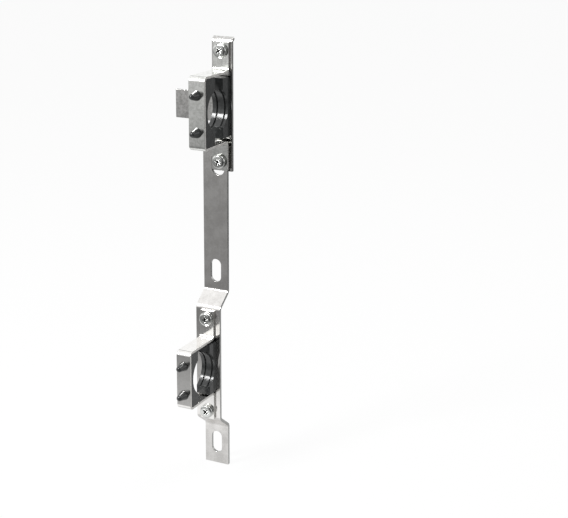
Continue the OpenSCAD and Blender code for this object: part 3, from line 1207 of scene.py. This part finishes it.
@dataclass
class Fasteners:
    """The pan-head screws and the nuts behind the plates."""

    places: tuple[FastenerPlace, ...] = (
        FastenerPlace("upper_top", 12, "upper_plate"), FastenerPlace("upper_pivot", 64, "slot_nut"),
        FastenerPlace("lower_top", 33, "strip"), FastenerPlace("lower_bottom", -8, "strip"))
    head_r: float = 5.75 * MM
    head_h: float = 3.8 * MM
    head_facets: int = 64
    seat_gap: float = 0.02 * MM
    rim_round: float = 0.4 * MM
    shoulder_r: float = 1.7 * MM
    crown_angle: float = 3.0
    arc_facets: int = 8
    shank_r: float = 3 * MM
    shank_facets: int = 40
    shank_sink: float = 0.5 * MM
    root_r: float = 2.45 * MM
    length: float = 14 * MM
    pitch: float = 1 * MM
    thread_sink: float = 0.15 * MM
    thread_foot: float = 0.44 * pitch
    thread_crest: float = 0.07 * pitch
    thread_start: float = 1.2 * pitch
    thread_free: float = 2.2 * pitch
    thread_facets: int = 28
    tip_chamfer: float = 0.6 * MM
    screw_round: float = 0.12 * MM
    screw_sharp: float = 40
    recess_span: float = 6.2 * MM
    recess_w: float = 1.4 * MM
    recess_depth: float = 2.2 * MM
    recess_over: float = 1 * MM
    recess_taper: tuple[float, float] = (0.42, 0.7)
    recess_turns: tuple[float, float] = (45, 135)
    nut_af: float = 10 * MM
    nut_h: float = 5 * MM
    nut_chamfer: float = 0.5 * MM
    nut_over: float = 0.5 * MM
    nut_past: float = 0.2 * MM
    nut_facets: int = 72
    nut_bore_r: float = 3.05 * MM
    nut_mouth: float = 0.4 * MM
    nut_round: float = 0.15 * MM
    nut_sharp: float = 25
    bore_over: float = 1 * MM
    bore_facets: int = 48

    def build(self) -> list[bpy.types.Object]:
        """Make one screw and one nut, and a copy of them for every place.

        Returns:
            The dressed fasteners.
        """
        screw, nut = self.screw(), self.nut()
        pieces = []
        for place in self.places:
            for model, kind in ((screw, "screw"), (nut, "nut")):
                node = f"{place.name}_{kind}"
                low, high = box(node)
                piece = Bench.copy(model, node)
                origin_y = high.y - self.length if kind == "screw" else low.y
                Bench.place(piece, Vector(((low.x + high.x) / 2, origin_y, (low.z + high.z) / 2)),
                            place.turn if kind == "screw" else 0, "Y")
                hand_over(piece, node if kind == "screw" else place.nut_body, node)
                pieces.append(piece)
        Bench.discard(screw)
        Bench.discard(nut)
        return pieces

    def head(self) -> bpy.types.Object:
        """Turn the pan head with its rounded shoulder and its low crown.

        Returns:
            The head, its underside a seat gap in front of y = 0.
        """
        soft, shoulder, facets = self.rim_round, self.shoulder_r, self.arc_facets
        crown = math.radians(self.crown_angle)
        hub = self.head_r - shoulder
        crown_edge = hub + shoulder * math.sin(crown)
        crown_r = crown_edge / math.sin(crown)
        rim_h = self.head_h - crown_r * (1 - math.cos(crown)) - shoulder * math.cos(crown)
        profile = [(0.0, -self.seat_gap), (self.head_r - soft, -self.seat_gap),
                   (self.head_r - ROUND_MID * soft, -ROUND_MID * soft), (self.head_r, -soft)]
        for i in range(facets + 1):
            turn = (math.pi / 2 - crown) * i / facets
            profile.append((hub + shoulder * math.cos(turn), -rim_h - shoulder * math.sin(turn)))
        for i in range(1, facets + 1):
            turn = crown * (1 - i / facets)
            profile.append((crown_r * math.sin(turn), crown_r * (1 - math.cos(turn)) - self.head_h))
        return Bench.lathe("screw_head", profile, self.head_facets)

    def thread(self) -> bpy.types.Object:
        """Wind the thread along the shank.

        Returns:
            The closed thread ridge.
        """
        inside = self.root_r - self.thread_sink
        first, foot, crest = self.thread_start, self.thread_foot, self.thread_crest
        piece = Bench.draw("thread", [
            Vector((inside, first - foot, 0)), Vector((self.shank_r, first - crest, 0)),
            Vector((self.shank_r, first + crest, 0)), Vector((inside, first + foot, 0))])
        bpy.ops.mesh.edge_face_add()
        bpy.ops.mesh.delete(type="ONLY_FACE")
        Bench.close()
        turns = int((self.length - self.thread_free) / self.pitch)
        Bench.modify(piece, "SCREW", axis="Y", angle=math.radians(FULL_TURN), screw_offset=self.pitch,
                     iterations=turns, steps=self.thread_facets, render_steps=self.thread_facets,
                     use_merge_vertices=True, merge_threshold=MERGE)
        Bench.edit(piece)
        bpy.ops.mesh.remove_doubles(threshold=MERGE)
        Bench.select_all()
        bpy.ops.mesh.fill_holes(sides=0)
        Bench.outward()
        Bench.close()
        return piece

    def recess(self, turn: float) -> bpy.types.Object:
        """Shape one tapered wing of the cross recess.

        Args:
            turn: The wing's angle about the screw's axis.

        Returns:
            The cutter.
        """
        span_share, width_share = self.recess_taper
        Bench.clear()
        bpy.ops.mesh.primitive_cube_add(size=1)
        cutter = bpy.context.object
        cutter.scale = (self.recess_span, self.recess_depth + self.recess_over, self.recess_w)
        cutter.location = (0, (self.recess_depth - self.recess_over) / 2 - self.head_h, 0)
        Bench.settle()
        Bench.pick(cutter, Pick.FACES, lambda _, normal: normal.y > 0.5)
        bpy.ops.transform.resize(value=(span_share, 1, width_share))
        Bench.close()
        Bench.place(cutter, Vector(ORIGIN), turn, "Y")
        return cutter

    def screw(self) -> bpy.types.Object:
        """Make the screw with its threaded shank along +Y.

        Returns:
            The dressed screw at the origin.
        """
        piece = self.head()
        piece.name = "screw_model"
        shank = [(0.0, -self.shank_sink), (self.root_r, -self.shank_sink),
                 (self.root_r, self.length - self.tip_chamfer),
                 (self.root_r - self.tip_chamfer, self.length), (0.0, self.length)]
        Bench.combine(piece, Bench.lathe("shank", shank, self.shank_facets), Join.ADD)
        Bench.combine(piece, self.thread(), Join.ADD)
        # The recess walls take the dark zinc, which is painted shade
        Bench.coat(piece, ZINC, RECESS_PAINTED_SHADE)
        Bench.punch(piece, [self.recess(turn) for turn in self.recess_turns], ZINC, RECESS_PAINTED_SHADE)
        Bench.soften(piece, self.screw_round, limit=self.screw_sharp)
        return piece

    def nut(self) -> bpy.types.Object:
        """Make the hexagon nut along +Y from y = 0.

        Returns:
            The dressed nut at the origin.
        """
        height, flat_r, over = self.nut_h, self.nut_af / 2, self.nut_over
        corner_r = flat_r / math.cos(math.pi / 6)
        Bench.clear()
        bpy.ops.mesh.primitive_cylinder_add(vertices=6, radius=corner_r, depth=height,
                                            location=(0, height / 2, 0), rotation=(math.pi / 2, 0, 0))
        piece = bpy.context.object
        piece.name = "nut_model"
        Bench.settle()
        slope = (corner_r - flat_r) / self.nut_chamfer
        end_r = flat_r - over * slope
        past = corner_r + self.nut_past
        rise = (past - flat_r) / slope
        turned = [(0.0, -over), (end_r, -over), (past, rise), (past, height - rise),
                  (end_r, height + over), (0.0, height + over)]
        Bench.combine(piece, Bench.lathe("turned_corners", turned, self.nut_facets), Join.KEEP)
        narrow, wide = self.nut_bore_r, self.nut_bore_r + self.nut_mouth
        start, end = -self.bore_over, height + self.bore_over
        bore = [(0.0, start), (wide, start), (wide, 0.0), (narrow, self.nut_mouth),
                (narrow, height - self.nut_mouth), (wide, height), (wide, end), (0.0, end)]
        Bench.combine(piece, Bench.lathe("bore", bore, self.bore_facets), Join.CUT)
        Bench.coat(piece, ZINC)
        Bench.soften(piece, self.nut_round, limit=self.nut_sharp)
        return piece


@dataclass
class SoftLight:
    """A softbox that faces the part."""

    name: str
    at: Vector
    wide: float
    tall: float
    watts: float

    def hang(self, towards: Vector) -> None:
        """Hang the lamp and point it.

        Args:
            towards: The point that it faces.
        """
        data = bpy.data.lights.new(self.name, "AREA")
        data.shape = "RECTANGLE"
        data.size = self.wide
        data.size_y = self.tall
        data.energy = self.watts
        lamp = bpy.data.objects.new(self.name, data)
        lamp.location = self.at
        lamp.rotation_euler = (towards - self.at).to_track_quat("-Z", "Y").to_euler()
        bpy.context.scene.collection.objects.link(lamp)


@dataclass
class Studio:
    """Pale floor, soft light and the camera."""

    lamps: tuple[SoftLight, ...] = (
        SoftLight("key_softbox", Vector((-0.58, -1.05, 1.15)), wide=0.34, tall=0.72, watts=20.0),
        SoftLight("top_softbox", Vector((0.35, 0.25, 1.25)), wide=0.7, tall=0.7, watts=5.0))
    lamp_target: Vector = Vector((0.0, -0.02, 0.08))
    azimuth: float = 25.719
    elevation: float = 17.127
    roll: float = 0.550
    distance: float = 1053.68 * MM
    target: Vector = Vector((61.0 * MM, 0.0, 94.865 * MM))
    focal_px: float = 1313.54
    image_w_px: float = 568
    sensor: float = 36.0
    clip_start: float = 0.01
    floor_size: float = 14.0
    floor_cuts: int = 3
    floor_gap: float = 0.4 * MM
    fill_level: float = 0.45
    low_mirror: float = 0.5
    horizon: float = 0.06
    gap_level: float = 0.12
    gap_from: float = 0.52
    gap_to: float = 0.62
    gap_soft: float = 0.04
    right_shade: tuple[Stop, Stop] = ((0.25, 0.0), (0.5, 0.85))
    front_edge: Window = (0.0, 0.1)

    def build(self) -> None:
        """Set up the floor, the lights, the world and the camera."""
        self.floor()
        self.world()
        for lamp in self.lamps:
            lamp.hang(self.lamp_target)
        self.camera()
        bpy.context.scene.view_settings.view_transform = "Standard"

    def floor(self) -> None:
        """Lay the floor under the part's lowest point."""
        Bench.clear()
        bpy.ops.mesh.primitive_plane_add(size=self.floor_size)
        floor = bpy.context.object
        floor.name = "floor"
        bpy.ops.object.mode_set(mode="EDIT")
        bpy.ops.mesh.subdivide(number_cuts=self.floor_cuts)
        Bench.close()
        Bench.place(floor, Vector((0, 0, CAD_BOX[0][2] - self.floor_gap)))
        floor.data.materials.append(PaleFloor("pale_floor").material())

    def world(self) -> None:
        """White surroundings for the eye, and in mirrors a dark gap above and a dark front right."""
        world = bpy.data.worlds.new("studio")
        bpy.context.scene.world = world
        world.use_nodes = True
        graph = Graph(world.node_tree)
        seen, mirrored = graph.sight()
        facing = graph.node("ShaderNodeTexCoord").at("Generated")
        height = graph.node("ShaderNodeSeparateXYZ", None, {0: facing}).at("Z")
        rise = graph.ramp(height, (0.0, self.low_mirror), (self.horizon, 1.0),
                          (self.gap_from - self.gap_soft, 1.0), (self.gap_from, self.gap_level),
                          (self.gap_to, self.gap_level), (self.gap_to + self.gap_soft, 1.0))
        dim = graph.ramp(graph.along(facing, TOWARDS_RIGHT), *self.right_shade)
        dim = dim * graph.window(graph.along(facing, AHEAD), self.front_edge)
        level = seen + mirrored * rise * (1 - dim) + self.fill_level * (1 - seen.larger(mirrored))
        sky = graph.node("ShaderNodeBackground", None, {
            "Color": graph.blend(level, BLACK, WHITE), "Strength": 1.0})
        graph.node("ShaderNodeOutputWorld", None, {"Surface": sky})

    def camera(self) -> None:
        """Place the camera at the photograph's viewing angle."""
        az, el, roll = (math.radians(angle) for angle in (self.azimuth, self.elevation, self.roll))
        back = Vector((math.sin(az) * math.cos(el), -math.cos(az) * math.cos(el), math.sin(el)))
        level = Vector((math.cos(az), math.sin(az), 0))
        rise = back.cross(level)
        right = math.cos(roll) * level + math.sin(roll) * rise
        up = math.cos(roll) * rise - math.sin(roll) * level
        data = bpy.data.cameras.new("photo_camera")
        data.sensor_fit = "HORIZONTAL"
        data.sensor_width = self.sensor
        data.lens = self.focal_px * self.sensor / self.image_w_px
        data.clip_start = self.clip_start
        camera = bpy.data.objects.new("photo_camera", data)
        turn = Matrix((right, up, back)).transposed().to_4x4()
        camera.matrix_world = Matrix.Translation(self.target + back * self.distance) @ turn
        bpy.context.scene.collection.objects.link(camera)
        bpy.context.scene.camera = camera


def main() -> None:
    """Build every sub-assembly in order, then the studio."""
    logging.basicConfig(level=logging.INFO, format="%(message)s")
    lower = Clamp("lower", low_screw="bottom", pad_body="strip", seat_y=-16.5 * MM, foot_step=0.0,
                  stud_spacing=LOWER_STUDS, plating=SMOOTH_STEEL)
    upper = Clamp("upper", low_screw="pivot", pad_body="upper_plate", seat_y=0.0, foot_step=PLATE_T,
                  stud_spacing=UPPER_STUDS, plating=MOTTLED_STEEL)
    pieces = [MountingStrip().build(), BackPlate().build()]
    pieces += lower.build() + upper.build() + Fasteners().build()
    Studio().build()
    LOG.info("%d pieces made", len(pieces))


if __name__ == "__main__":
    main()
